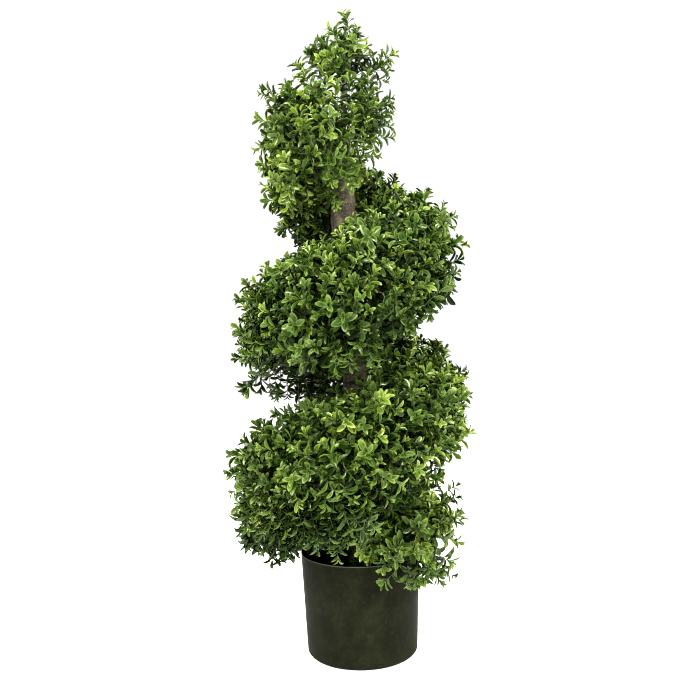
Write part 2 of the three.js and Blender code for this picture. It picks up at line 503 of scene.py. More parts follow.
@dataclass
class Studio:
    """A pale sweep of floor, soft lights and the camera."""

    focal_mm: float = 39.14
    sensor_mm: float = 36
    eye: Triple = (-0.007, -1.294, 0.5357)
    roll_deg: float = 1.6
    shift_up: float = -0.0253
    floor_size: float = 14
    floor_drop: float = 0.2 * MM  # how far the floor lies under the pot
    floor_grain: float = 2.5 * MM
    floor_colour: str = "#fafafa"
    surroundings: float = 1.03
    sharpness: float = 1.0  # the width of the lens's blur
    aim: Triple = (0, 0, 0.5)
    lamps: tuple[SoftBox, ...] = (
        SoftBox("left_light", (-1.5, -1.5, 2.1), 0.7, 131),
        SoftBox("right_light", (1.6, -1.4, 1.9), 0.7, 129),
        SoftBox("top_light", (0.1, 0.2, 2.7), 0.8, 80),
    )

    def camera(self) -> None:
        """Makes the camera, level and a little rolled."""
        data = bpy.data.cameras.new("camera")
        data.lens = self.focal_mm
        data.sensor_width = self.sensor_mm
        data.shift_y = self.shift_up
        camera = bpy.data.objects.new("camera", data)
        camera.location = self.eye
        camera.rotation_euler = (math.pi / 2, math.radians(self.roll_deg), 0)
        bpy.context.scene.collection.objects.link(camera)
        bpy.context.scene.camera = camera
        bpy.context.scene.cycles.filter_width = self.sharpness

    def floor(self) -> None:
        """Lays the floor, which isn't part of the plant."""
        shape = bmesh.new()
        bmesh.ops.create_grid(shape, x_segments=1, y_segments=1, size=self.floor_size / 2)
        bmesh.ops.translate(shape, verts=shape.verts[:], vec=(0, 0, -self.floor_drop))
        floor = bpy.data.objects.new("floor", mesh_from("floor", shape, smooth=False))
        bpy.context.scene.collection.objects.link(floor)
        material, tree = new_material("painted_sweep")
        place = add_node(tree, "TexCoord").outputs["Object"]
        grain = add_node(
            tree, "TexNoise", {"Vector": place, "Scale": 1 / self.floor_grain}
        ).outputs["Fac"]
        bump = add_node(tree, "Bump", {"Height": grain, "Strength": 0.02, "Distance": MM})
        colour = linear(self.floor_colour)
        finish_surface(
            tree, {"Base Color": colour, "Roughness": 0.9, "Normal": bump.outputs["Normal"]}
        )
        floor.data.materials.append(material)

    def lamp(self, box: SoftBox) -> None:
        """Hangs a soft box that faces the middle of the plant.

        Args:
            box: The soft box.
        """
        data = bpy.data.lights.new(box.name, "AREA")
        data.shape = "SQUARE"
        data.size = box.size
        data.energy = box.power
        lamp = bpy.data.objects.new(box.name, data)
        lamp.location = box.place
        facing = Vector(self.aim) - Vector(box.place)
        lamp.rotation_euler = facing.to_track_quat("-Z", "Y").to_euler()
        bpy.context.scene.collection.objects.link(lamp)

    def light(self) -> None:
        """Sets the white surroundings and hangs the lamps."""
        world = bpy.data.worlds.new("surroundings")
        world.use_nodes = True
        background = world.node_tree.nodes["Background"]
        background.inputs["Color"].default_value = (1, 1, 1, 1)
        background.inputs["Strength"].default_value = self.surroundings
        bpy.context.scene.world = world
        for box in self.lamps:
            self.lamp(box)
        bpy.context.scene.view_settings.view_transform = "Standard"


# ---------------------------------------------------------------- pot and filling


@dataclass
class Pot:
    """A round nursery pot with a plain thin rim and rounded heel."""

    steps: int = 96
    wall: float = 2.6 * MM
    floor: float = 4 * MM
    heel: float = 5 * MM
    heel_step_deg: int = 15
    rim_round: float = 0.7 * MM
    crease_deg: float = 40  # a sharper edge than this is shaded as an edge
    finish: PotPlastic = field(default_factory=PotPlastic)

    def __post_init__(self) -> None:
        """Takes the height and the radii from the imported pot."""
        low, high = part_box("pot")
        self.height = high[2] - low[2]
        self.top_radius = (high[0] - low[0]) / 2
        corners = corners_of("pot")
        foot = corners[np.abs(corners[:, 2] - self.heel) < MM]
        self.foot_radius = float(np.linalg.norm(foot[:, :2], axis=1).max())

    def radius(self, height: float) -> float:
        """Gives the outer radius at a height."""
        share = (height - self.heel) / (self.height - self.heel)
        return self.foot_radius + (self.top_radius - self.foot_radius) * share

    def outline(self) -> list[tuple[float, float]]:
        """Draws the wall's section, from the underside's middle round to the floor's middle.

        Returns:
            The radius and the height of each corner.
        """
        quarter = [math.radians(angle) for angle in range(-90, 1, self.heel_step_deg)]
        middle = self.foot_radius - self.heel
        heel = [
            (middle + self.heel * math.cos(a), self.heel * (1 + math.sin(a))) for a in quarter
        ]
        inside = self.top_radius - self.wall
        half_way = self.height * 0.5
        return [
            (0, 0),
            *heel,
            (self.radius(half_way), half_way),
            (self.top_radius, self.height),
            (inside, self.height),
            (self.radius(self.floor) - self.wall, self.floor),
            (0, self.floor),
        ]

    def build(self) -> None:
        """Spins the wall, rounds the rim and dresses the pot."""
        shape = spun(self.outline(), self.steps)
        rim = []
        for edge in shape.edges:
            at_top = all(abs(vertex.co.z - self.height) < SAME_PLACE for vertex in edge.verts)
            inner, outer = sorted(vertex.co.xy.length for vertex in edge.verts)
            if at_top and outer - inner < self.wall / 2:  # it runs round the rim, not across it
                rim.append(edge)
        bmesh.ops.bevel(
            shape,
            geom=rim,
            offset=self.rim_round,
            affect="EDGES",
            segments=3,
            profile=0.5,
            material=-1,
        )
        mesh = mesh_from("nursery_pot", shape)
        piece = show("nursery_pot", mesh, self.finish.material(), ("pot",))
        piece.data.set_sharp_from_angle(angle=math.radians(self.crease_deg))


@dataclass
class Filling:
    """The cast disc that holds the foot of the pole."""

    rings: int = 14
    steps: int = 72
    relief: float = 1.2 * MM
    grain: float = 9 * MM
    finish: CastFilling = field(default_factory=CastFilling)

    def build(self) -> None:
        """Spins the disc, roughens its top and dresses it."""
        low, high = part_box("pot_filling")
        corners = corners_of("pot_filling")
        reach = np.linalg.norm(corners[:, :2], axis=1)
        foot = float(reach[corners[:, 2] < low[2] + MM].max())
        top = float(reach.max())
        outline = [(0, low[2]), (foot, low[2])]
        outline += [(top * (1 - ring / self.rings), high[2]) for ring in range(self.rings + 1)]
        shape = spun(outline, self.steps)
        for vertex in shape.verts:
            if vertex.co.z > high[2] - MM:
                rough = noise.noise(vertex.co / self.grain)
                vertex.co.z += self.relief * (rough - 1)
        mesh = mesh_from("cast_filling", shape)
        show("cast_filling", mesh, self.finish.material(), ("pot_filling",))


# ---------------------------------------------------------------- pole, leader and boughs


@dataclass(frozen=True)
class Relief:
    """How a limb is modelled: how finely, and how rough its skin is."""

    sides: int
    depth: float
    grain: tuple[float, float]  # the size of the coarse lumps and of the fine ones
    step: float  # between rings

    STRETCH: ClassVar[tuple[float, float]] = (0.4, 0.6)  # the lumps are longer than wide
    BLEND: ClassVar[tuple[float, float]] = (0.65, 0.35)


@dataclass
class Limb:
    """A round limb with relief on its skin, along a centre line with a radius at each point."""

    points: np.ndarray
    radii: np.ndarray
    relief: Relief

    def mesh(self, name: str) -> bpy.types.Mesh:
        """Extrudes the limb ring by ring.

        Args:
            name: The mesh's name.

        Returns:
            The closed mesh, roughened along its skin.
        """
        shape = bmesh.new()
        ring = bmesh.ops.create_circle(
            shape, cap_ends=True, segments=self.relief.sides, radius=1
        )
        rings = [list(ring["verts"])]
        edges = list(shape.edges)
        for _ in self.points[1:]:
            grown = bmesh.ops.extrude_edge_only(shape, edges=edges)["geom"]
            edges = [item for item in grown if isinstance(item, bmesh.types.BMEdge)]
            rings.append([item for item in grown if isinstance(item, bmesh.types.BMVert)])
        bmesh.ops.contextual_create(shape, geom=edges)
        heading = np.gradient(self.points, axis=0)
        for place, vertices in enumerate(rings):
            towards = Vector(heading[place]).to_track_quat("Z", "X").to_matrix()
            for vertex in vertices:
                flat = Vector((vertex.co.x, vertex.co.y, 0)).normalized()
                skin = Vector(self.points[place]) + towards @ (flat * float(self.radii[place]))
                coarse, fine = (
                    noise.noise(Vector((skin.x, skin.y, skin.z * stretch)) / grain)
                    for stretch, grain in zip(Relief.STRETCH, self.relief.grain, strict=True)
                )
                rough = Relief.BLEND[0] * coarse + Relief.BLEND[1] * fine
                vertex.co = skin + towards @ (flat * (self.relief.depth * rough))
        bmesh.ops.recalc_face_normals(shape, faces=shape.faces[:])
        return mesh_from(name, shape)


def resampled(points: np.ndarray, radii: np.ndarray, step: float) -> Line:
    """Places points evenly along a centre line.

    Args:
        points: The line's corners.
        radii: The radius at each corner.
        step: About how far apart the new points lie.

    Returns:
        The new points and the radius at each.
    """
    run = np.concatenate(([0], np.cumsum(np.linalg.norm(np.diff(points, axis=0), axis=1))))
    places = np.linspace(0, run[-1], max(2, round(run[-1] / step) + 1))
    line = np.stack([np.interp(places, run, points[:, axis]) for axis in range(3)], axis=1)
    return line, np.interp(places, run, radii)


@dataclass
class Frame:
    """The pole, the leader over it and the boughs that carry the masses."""

    proud: float = 2.6 * MM  # how far the bark stands off the pole
    flare: float = 1.15  # a bough's radius at the pole against that at its tip
    end_share: float = 0.3  # of a bough's length, whose corners show where it ends
    row_gap: float = 0.5 * MM  # corners whose heights are nearer are in one row
    bark: Bark = field(default_factory=Bark)
    pole: Relief = Relief(60, 1.8 * MM, (9 * MM, 4 * MM), 3 * MM)
    leader: Relief = Relief(14, 0.7 * MM, (15 * MM, 6 * MM), 8 * MM)
    bough: Relief = Relief(12, 0.6 * MM, (9 * MM, 4 * MM), 3 * MM)
    stem: StemPlastic = StemPlastic("brown", "#161c0b", "#222912")

    def upright(self, node: str) -> Line:
        """Measures an upright solid row by row.

        Args:
            node: The solid's name.

        Returns:
            The middle of each row of its corners, and the row's radius.
        """
        corners = corners_of(node)
        rows = np.unique(np.round(corners[:, 2], 4))
        middles, radii = [], []
        for row in rows:
            ring = corners[np.abs(corners[:, 2] - row) < self.row_gap]
            ring = np.unique(np.round(ring, 5), axis=0)
            middle = (ring.min(axis=0) + ring.max(axis=0)) / 2
            reach = np.linalg.norm(ring[:, :2] - middle[:2], axis=1)
            middles.append(middle)
            radii.append(float(reach[reach > 0.5 * reach.max()].mean()))
        return np.array(middles), np.array(radii)

    def bough_line(self, node: str) -> Line:
        """Measures a bough from its end at the pole to its end in the mass.

        Args:
            node: The bough's name.

        Returns:
            Its two ends, and the radius at each.
        """
        corners = corners_of(node)
        out = corners[:, :2].mean(axis=0)
        run = corners[:, :2] @ (out / np.linalg.norm(out))
        inner = corners[run < np.quantile(run, self.end_share)].mean(axis=0)
        outer = corners[run > np.quantile(run, 1 - self.end_share)].mean(axis=0)
        radius = float(np.linalg.norm(corners - outer, axis=1).min())
        return np.stack([inner, outer]), np.array([radius * self.flare, radius])

    def build(self) -> dict[str, np.ndarray]:
        """Makes the pole, the leader and the boughs.

        Returns:
            The outer end of each bough by its name.
        """
        line, radii = self.upright("trunk")
        pole = Limb(*resampled(line, radii + self.proud, self.pole.step), self.pole)
        show("bark_pole", pole.mesh("bark_pole"), self.bark.material(), ("trunk",))
        material = self.stem.material()
        leader = Limb(*resampled(*self.upright("leader"), self.leader.step), self.leader)
        show("leader_stem", leader.mesh("leader_stem"), material, ("leader",))
        ends = {}
        for node in sorted(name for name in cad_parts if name.startswith("bough_")):
            line, radii = self.bough_line(node)
            ends[node] = line[1]
            bough = Limb(*resampled(line, radii, self.bough.step), self.bough)
            name = f"{node}_stem"
            show(name, bough.mesh(name), material, (node,))
        return ends


# ---------------------------------------------------------------- arrays for the small things


def unit(vectors: np.ndarray) -> np.ndarray:
    """Scales vectors to a length of one."""
    return vectors / np.maximum(np.linalg.norm(vectors, axis=-1, keepdims=True), 1e-12)


def array_mesh(
    name: str, points: np.ndarray, faces: np.ndarray, places: np.ndarray | None = None
) -> bpy.types.Mesh:
    """Joins many small things, given as arrays, into one smooth mesh.

    Args:
        name: The mesh's name.
        points: The corners, one in each row.
        faces: The corner numbers of each face, all with as many corners.
        places: The place of each face corner on the leaf's map, if the piece has one.

    Returns:
        The mesh.
    """
    mesh = bpy.data.meshes.new(name)
    count, corners = faces.shape
    mesh.vertices.add(len(points))
    mesh.vertices.foreach_set("co", points.astype(np.float32).ravel())
    mesh.loops.add(count * corners)
    mesh.loops.foreach_set("vertex_index", faces.astype(np.int32).ravel())
    mesh.polygons.add(count)
    mesh.polygons.foreach_set("loop_start", np.arange(0, count * corners, corners, dtype=np.int32))
    mesh.update(calc_edges=True)
    mesh.polygons.foreach_set("use_smooth", np.ones(count, dtype=bool))
    if places is not None:
        layer = mesh.uv_layers.new(name=LEAF_MAP)
        layer.uv.foreach_set("vector", places.astype(np.float32).ravel())
    mesh.update()
    return mesh


def tubes(points: np.ndarray, radii: np.ndarray, sides: int) -> tuple[np.ndarray, np.ndarray]:
    """Makes many thin closed tubes with as many points each.

    Args:
        points: For each tube, the points that it follows.
        radii: For each tube, the radius at each point.
        sides: The sides of a section.

    Returns:
        All corners, and the faces as triples of corner numbers.
    """
    count, length, _ = points.shape
    heading = unit(np.gradient(points, axis=1))
    aside = np.where(np.abs(heading[..., 2:]) > STEEP, (1.0, 0.0, 0.0), (0.0, 0.0, 1.0))
    right = unit(np.cross(heading, aside))
    over = np.cross(right, heading)
    turns = np.arange(sides) * 2 * math.pi / sides
    spokes = (
        right[:, :, None] * np.cos(turns)[:, None] + over[:, :, None] * np.sin(turns)[:, None]
    )
    corners = points[:, :, None] + spokes * radii[:, :, None, None]
    ring, side = np.meshgrid(np.arange(length - 1), np.arange(sides), indexing="ij")
    a = (ring * sides + side).ravel()
    b = (ring * sides + (side + 1) % sides).ravel()
    wall = np.stack([a, b, b + sides, a, b + sides, a + sides], axis=1).reshape(-1, 3)
    fan = np.arange(1, sides - 1)
    last = (length - 1) * sides
    foot = np.stack([0 * fan, fan + 1, fan], axis=1)
    top = np.stack([0 * fan + last, last + fan, last + fan + 1], axis=1)
    one = np.concatenate([wall, foot, top])
    shift = np.arange(count)[:, None, None] * (length * sides)
    return corners.reshape(-1, 3), (one + shift).reshape(-1, 3)


def bend(start: np.ndarray, pull: np.ndarray, end: np.ndarray, shares: np.ndarray) -> np.ndarray:
    """Gives points along quadratic curves.

    Args:
        start: Where each curve starts.
        pull: The point that draws each curve.
        end: Where each curve ends.
        shares: The places wanted along every curve, from 0 to 1.

    Returns:
        For each curve, its points.
    """
    t = shares[..., None]
    start, pull, end = (np.expand_dims(p, 1) for p in (start, pull, end))
    return (1 - t) ** 2 * start + 2 * t * (1 - t) * pull + t**2 * end


@dataclass
class Rows:
    """Many small things of one sort, as arrays with a row for each thing."""

    def kept(self, keep: np.ndarray) -> Self:
        """Gives the things that a mask or a list of numbers keeps."""
        return type(self)(*(getattr(self, each.name)[keep] for each in fields(self)))

    @classmethod
    def heap(cls, parts: list[Self]) -> Self:
        """Puts several lots together."""
        return cls(
            *(np.concatenate([getattr(part, each.name) for part in parts]) for each in fields(cls))
        )


@dataclass(frozen=True)
class ThinStem:
    """One sort of thin stem, with the radius at its foot and at its tip."""

    name: str
    points: int
    sides: int
    radii: tuple[float, float]
    finish: StemPlastic

    def shares(self) -> np.ndarray:
        """Gives where the points lie along a stem, from 0 to 1."""
        return np.linspace(0, 1, self.points)[None]

    def build(self, lines: np.ndarray) -> None:
        """Makes stems along many lines and dresses them as one piece."""
        radii = np.broadcast_to(np.linspace(*self.radii, self.points), lines.shape[:2])
        mesh = array_mesh(self.name, *tubes(lines, radii, self.sides))
        show(self.name, mesh, self.finish.material())


# ---------------------------------------------------------------- leaves


@dataclass
class LeafShape:
    """One moulded boxwood leaf: egg-shaped, broadest past its middle, folded and arched.

    It is one long and one wide, to be scaled. It lies along +Y with its upper face to +Z.
    """

    rows: tuple[float, ...] = (0.0, 0.28, 0.6, 0.87, 1.0)
    widths: tuple[float, ...] = (0.12, 0.64, 1.0, 0.84, 0.36)
    fold: float = 0.85
    arch: float = 0.2
    twist: float = 0.0
    slender: float = 0.43  # a leaf's width against its length

    def arrays(self) -> tuple[np.ndarray, np.ndarray, np.ndarray]:
        """Shapes a small grid into the leaf.

        Returns:
            The leaf's corners, its triangles, and the place of each face corner on the map.
        """
        shape = bmesh.new()
        layer = shape.loops.layers.uv.new(LEAF_MAP)
        bmesh.ops.create_grid(
            shape, x_segments=2, y_segments=len(self.rows) - 1, size=0.5, calc_uvs=True
        )
        for vertex in shape.verts:
            row = round((vertex.co.y + 0.5) * (len(self.rows) - 1))
            side = 2 * vertex.co.x
            along = self.rows[row]
            half = self.widths[row] / 2
            drop = self.arch * along**2
            lift = (self.fold * abs(side) + self.twist * side * along) * half
            vertex.co = (side * half, along, lift * self.slender - drop)
        for face in shape.faces:
            for loop in face.loops:
                row = round(loop[layer].uv.y * (len(self.rows) - 1))
                loop[layer].uv.y = self.rows[row]
        bmesh.ops.remove_doubles(shape, verts=shape.verts[:], dist=1e-4)
        bmesh.ops.triangulate(shape, faces=shape.faces[:])
        shape.verts.index_update()
        corners = np.array([vertex.co[:] for vertex in shape.verts])
        faces = np.array([[vertex.index for vertex in face.verts] for face in shape.faces])
        places = np.array([[loop[layer].uv[:] for loop in face.loops] for face in shape.faces])
        shape.free()
        return corners, faces, places


@dataclass
class Leaves(Rows):
    """A heap of leaves, each with its foot, its two directions, its size, shape and tint."""

    foot: np.ndarray
    along: np.ndarray
    upper: np.ndarray
    length: np.ndarray
    width: np.ndarray
    kind: np.ndarray
    tint: np.ndarray

    SHAPES: ClassVar[tuple[LeafShape, ...]] = (
        LeafShape(fold=0.5, arch=0.08, widths=(0.12, 0.68, 1.04, 0.88, 0.4)),
        LeafShape(),
        LeafShape(fold=1.0, arch=0.32),
        LeafShape(fold=0.8, arch=0.26, twist=0.2, widths=(0.1, 0.58, 0.94, 0.78, 0.3)),
        LeafShape(fold=1.1, arch=0.45, widths=(0.1, 0.55, 0.88, 0.7, 0.22)),
        LeafShape(fold=1.0, arch=0.62, twist=-0.15, widths=(0.1, 0.5, 0.8, 0.6, 0.16)),
    )
    CURLED: ClassVar[int] = 2  # the curled shapes start so many further on

    def mesh(self, name: str, members: np.ndarray, shapes: list[tuple]) -> bpy.types.Mesh:
        """Joins some of the leaves into one mesh.

        Args:
            name: The mesh's name.
            members: The numbers of the leaves.
            shapes: The corners, triangles and map places of each shape of leaf.

        Returns:
            The mesh, with the leaves' map.
        """
        points, faces, places = [], [], []
        total = 0
        for kind, (corners, triangles, spots) in enumerate(shapes):
            some = self.kept(members[self.kind[members] == kind])
            across = np.cross(some.along, some.upper)
            sides = ((across, some.width), (some.along, some.length), (some.upper, some.length))
            placed = some.foot[:, None]
            for axis, (direction, size) in enumerate(sides):
                shares = corners[:, axis : axis + 1]
                placed = placed + direction[:, None] * (shares * size[:, None, None])
            shift = total + np.arange(len(some.foot))[:, None, None] * len(corners)
            points.append(placed.reshape(-1, 3))
            faces.append((triangles + shift).reshape(-1, 3))
            places.append(np.tile(spots.reshape(-1, 2), (len(some.foot), 1)))
            total += len(some.foot) * len(corners)
        return array_mesh(name, *(np.concatenate(part) for part in (points, faces, places)))

    def build(self, replaced: tuple[str, ...]) -> None:
        """Joins the leaves, tint by tint, into pieces and dresses them.

        Args:
            replaced: The masses that the leaves stand for, hidden when the first piece is made.
        """
        shapes = [shape.arrays() for shape in self.SHAPES]
        most = MOST_TRIANGLES // len(shapes[0][1])
        for number, tint in enumerate(Tint):
            chosen = np.flatnonzero(self.tint == number)
            if not len(chosen):
                continue
            material = tint.value.material()
            batches = math.ceil(len(chosen) / most)
            for batch, members in enumerate(np.array_split(chosen, batches), start=1):
                name = f"leaves_{tint.name.lower()}_{batch}"
                show(name, self.mesh(name, members, shapes), material, replaced)
                replaced = ()


# ---------------------------------------------------------------- foliage


@dataclass
class Spots(Rows):
    """Places on the skin, with the direction straight out of it and the number of the mass."""

    point: np.ndarray
    normal: np.ndarray
    owner: np.ndarray

    def under(self) -> np.ndarray:
        """Says how far each place faces down, from 0 to 1."""
        return np.clip(-self.normal[:, 2], 0, 1)


@dataclass
class Skin:
    """The outer faces of the foliage masses, which say how far the sprays reach."""

    seam: float = 1.5 * MM  # a face with another mass this near in front of it is inside
    start_mm: float = 0.02  # how far off a face the search for the other mass starts
    least_area: float = 1e-9

    def __post_init__(self) -> None:
        """Collects the faces of the masses and drops those where one mass meets the next."""
        self.nodes = sorted(
            name
            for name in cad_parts
            if name.startswith(("mass_", "skirt_")) or name == "crown_mass"
        )
        corners, owners = [], []
        for number, name in enumerate(self.nodes):
            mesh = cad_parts[name].data
            mesh.calc_loop_triangles()
            triangles = np.array([triangle.vertices[:] for triangle in mesh.loop_triangles])
            corners.append(corners_of(name)[triangles])
            owners.append(np.full(len(triangles), number))
        corners, owners = np.concatenate(corners), np.concatenate(owners)
        cross = np.cross(corners[:, 1] - corners[:, 0], corners[:, 2] - corners[:, 0])
        area = np.linalg.norm(cross, axis=1) / 2
        normal = unit(cross)
        everything = self.tree(corners)
        inside = np.zeros(len(corners), dtype=bool)
        for number, triangle in enumerate(corners):
            start = Vector(triangle.mean(axis=0) + normal[number] * self.start_mm * MM)
            hit = everything.ray_cast(start, Vector(normal[number]), self.seam)
            inside[number] = hit[0] is not None
        keep = ~inside & (area > self.least_area)
        self.corners, self.owners = corners[keep], owners[keep]
        self.area, self.normal = area[keep], normal[keep]
        self.outer = self.tree(self.corners)
        LOG.info("skin: %.3f m2 in %d faces", self.area.sum(), len(self.area))

    @staticmethod
    def tree(corners: np.ndarray) -> BVHTree:
        """Makes a search tree of loose triangles."""
        points = [Vector(point) for point in corners.reshape(-1, 3)]
        faces = [(3 * face, 3 * face + 1, 3 * face + 2) for face in range(len(corners))]
        return BVHTree.FromPolygons(points, faces)

    def scatter(self, draw: np.random.Generator, count: int, owner: int | None = None) -> Spots:
        """Draws places evenly over the skin.

        Args:
            draw: The source of chance.
            count: How many places.
            owner: The number of the only mass to draw from, if not from all.

        Returns:
            The places.
        """
        area = self.area if owner is None else self.area * (self.owners == owner)
        faces = draw.choice(len(area), count, p=area / area.sum())
        a, b = draw.random((2, count))
        root = np.sqrt(a)
        shares = np.stack([1 - root, root * (1 - b), root * b], axis=1)
        points = (self.corners[faces] * shares[:, :, None]).sum(axis=1)
        return Spots(points, self.normal[faces], self.owners[faces])

    def depth(self, points: np.ndarray) -> np.ndarray:
        """Says how deep points lie under the skin.

        Args:
            points: The points.

        Returns:
            The depth of each, which is below zero for a point outside.
        """
        depths = np.empty(len(points))
        for number, point in enumerate(points):
            nearest, normal, _, distance = self.outer.find_nearest(Vector(point))
            depths[number] = math.copysign(distance, (nearest - Vector(point)).dot(normal))
        return depths

    def each(self, spots: Spots, rule: Callable[[str], float]) -> np.ndarray:
        """Gives for every place what a rule says of its mass.

        Args:
            spots: The places.
            rule: What turns the name of a mass into a value.

        Returns:
            The values.
        """
        return np.array([rule(name) for name in self.nodes])[spots.owner]


def spaced(points: np.ndarray, spacing: np.ndarray) -> np.ndarray:
    """Picks points that keep their distance, in the order given.

    Args:
        points: The points.
        spacing: How far from each point the points picked before it must lie.

    Returns:
        The numbers of the picked points.
    """
    picked = np.empty_like(points)
    numbers = []
    for number, point in enumerate(points):
        gaps = np.linalg.norm(picked[: len(numbers)] - point, axis=1)
        if not len(numbers) or gaps.min() > spacing[number]:
            picked[len(numbers)] = point
            numbers.append(number)
    return np.array(numbers)


@dataclass
class Layer:
    """One storey of shoots: how deep their tips lie, how close they stand and how they look."""

    name: str
    depth: tuple[float, float]  # mean and spread of the tips' depth under the skin
    spacing: float
    length: tuple[float, float]
    # how dark the leaves are; the deeper layers' darker leaves are painted shade
    tone: float
    pairs: int
    thinner: float  # how much wider apart the shoots stand in the upright masses


@dataclass(frozen=True)
class Thin:
    """The lowest share of a mass's height, where only a share of its shoots grows."""

    node: str
    height: float
    kept: float


@dataclass(frozen=True)
class Swell:
    """A place on a mass round which the sprays reach further out than elsewhere, or less far."""

    node: str
    place: Triple  # in shares of the mass's box
    further: float  # in mm
    spread: float  # in mm
    darker: float = 0.0  # how much darker the sprays are there, as painted shade; below nought, painted light


@dataclass(frozen=True)
class Tuft:
    """A few sprays that stand out of a mass round one place on its skin."""

    node: str
    place: Triple  # in shares of the mass's box
    towards: Triple
    reach: float  # in mm, how far past the skin the tips lie
    count: int
    spread: float = 40  # in mm, how far from the place they may start
    # how dark its leaves are; the darkest tufts, in the hollow over the pot, are painted shade
    tone: float = 0.4
    pairs: int = 7
    curled: bool = True

    GAP: ClassVar[float] = 0.3  # between the sprays, as a share of the spread
    ASTRAY: ClassVar[float] = 0.25  # how far they stray from their direction
    REACHES: ClassVar[tuple[float, float]] = (0.5, 1.1)  # of the reach, the least and the most
    INWARD: ClassVar[float] = 12 * MM  # how far under the skin a spray starts to turn
    FOLLOWED: ClassVar[float] = 0.4  # how far its foot follows its tip
    ROOTS_MM: ClassVar[tuple[float, float]] = (25, 40)  # how far behind the turn its foot lies


@dataclass
class Shoots(Rows):
    """Many shoots: their feet, the points that draw them over, their tips and their tone."""

    foot: np.ndarray
    pull: np.ndarray
    tip: np.ndarray
    tone: np.ndarray
    pairs: np.ndarray
    owner: np.ndarray
    curled: np.ndarray  # one where the leaves curl back more, otherwise nought

    STEP: ClassVar[float] = 0.01  # the share of a shoot over which its direction is taken

    def points(self, shares: np.ndarray) -> np.ndarray:
        """Gives points along the shoots at these shares of their length."""
        return bend(self.foot, self.pull, self.tip, shares)

    def heading(self, shares: np.ndarray) -> np.ndarray:
        """Gives the direction of growth at these shares of the shoots' length."""
        return unit(self.points(shares + self.STEP) - self.points(shares - self.STEP))


@dataclass(frozen=True)
class LeafHabit:
    """How the leaves sit on a shoot, pair by pair from the tip, and how they vary."""

    steps: tuple[float, ...] = (0, 5, 11.5, 20, 29.5, 39, 48.5, 58, 67, 76)  # in mm from the tip
    sizes: tuple[float, ...] = (11, 16, 18.5, 19.5, 19, 18, 17, 16, 15, 14)  # lengths in mm
    openings: tuple[float, ...] = (22, 38, 48, 55, 60, 63, 66, 68, 69, 70)  # degrees off the stem
    stretch: tuple[float, float] = (0.88, 1.15)  # of the steps, the least and the most
    curled_stretch: float = 0.2  # how much longer the steps are where the leaves curl
    vigour: tuple[float, float] = (0.75, 1.2)  # of the sizes, the least and the most
    ends: tuple[float, float] = (0.02, 0.99)  # where on a shoot the last and the first pair may sit
    darker: float = 0.045  # from pair to pair away from the tip: partly the young tips' paler colour, partly painted shade deeper in the spray

    VIGOUR_SPREAD: ClassVar[float] = 0.09
    TURN_SPREAD: ClassVar[float] = 0.2  # in radians, of the pairs about the stem
    OPENING_SPREAD: ClassVar[float] = 9  # in degrees
    ROLL_SPREAD: ClassVar[float] = 0.32  # in radians, of a leaf about its rib
    LENGTH_SPREAD: ClassVar[float] = 0.08
    WIDTH_SPREAD: ClassVar[float] = 0.09
    TONE_SPREAD: ClassVar[float] = 0.08

    def leaves(self, shoots: Shoots, draw: np.random.Generator) -> Leaves:
        """Sets leaves in crossed pairs down every shoot, with a rosette of small ones at its tip.

        Args:
            shoots: The shoots.
            draw: The source of chance.

        Returns:
            The leaves.
        """
        count = len(shoots.tip)
        run = np.linalg.norm(shoots.tip - shoots.foot, axis=1)
        start = draw.uniform(0, 2 * math.pi, count)
        stretch = draw.uniform(*self.stretch, count) * (1 + self.curled_stretch * shoots.curled)
        vigour = np.clip(draw.normal(1.0, self.VIGOUR_SPREAD, count), *self.vigour)
        shapes = len(Leaves.SHAPES) - Leaves.CURLED
        parts = []
        for pair, (step, size, opening) in enumerate(
            zip(self.steps, self.sizes, self.openings, strict=True)
        ):
            grows = shoots.pairs > pair
            share = np.clip(1 - step * MM * stretch / run, *self.ends)[:, None]
            foot = shoots.points(share)[:, 0]
            heading = shoots.heading(share)[:, 0]
            right = unit(np.cross(heading, BESIDE_UP))
            over = np.cross(right, heading)
            for side in (0, 1):
                azimuth = start + pair * math.pi / 2 + side * math.pi
                azimuth = azimuth + draw.normal(0, self.TURN_SPREAD, count)
                out = right * np.cos(azimuth)[:, None] + over * np.sin(azimuth)[:, None]
                angle = np.radians(opening + draw.normal(0, self.OPENING_SPREAD, count))[:, None]
                along = unit(np.cos(angle) * heading + np.sin(angle) * out)
                upper = unit(np.sin(angle) * heading - np.cos(angle) * out)
                roll = draw.normal(0, self.ROLL_SPREAD, count)[:, None]
                upper = np.cos(roll) * upper + np.sin(roll) * np.cross(along, upper)
                length = size * MM * vigour * draw.normal(1, self.LENGTH_SPREAD, count)
                width = length * LeafShape.slender * draw.normal(1, self.WIDTH_SPREAD, count)
                tone = shoots.tone + self.darker * pair + draw.normal(0, self.TONE_SPREAD, count)
                tint = np.clip(tone * len(Tint), 0, len(Tint) - 1).astype(int)
                kind = draw.integers(0, shapes, count) + Leaves.CURLED * shoots.curled
                leaf = Leaves(foot, along, upper, length, width, kind, tint)
                parts.append(leaf.kept(grows))
        return Leaves.heap(parts)


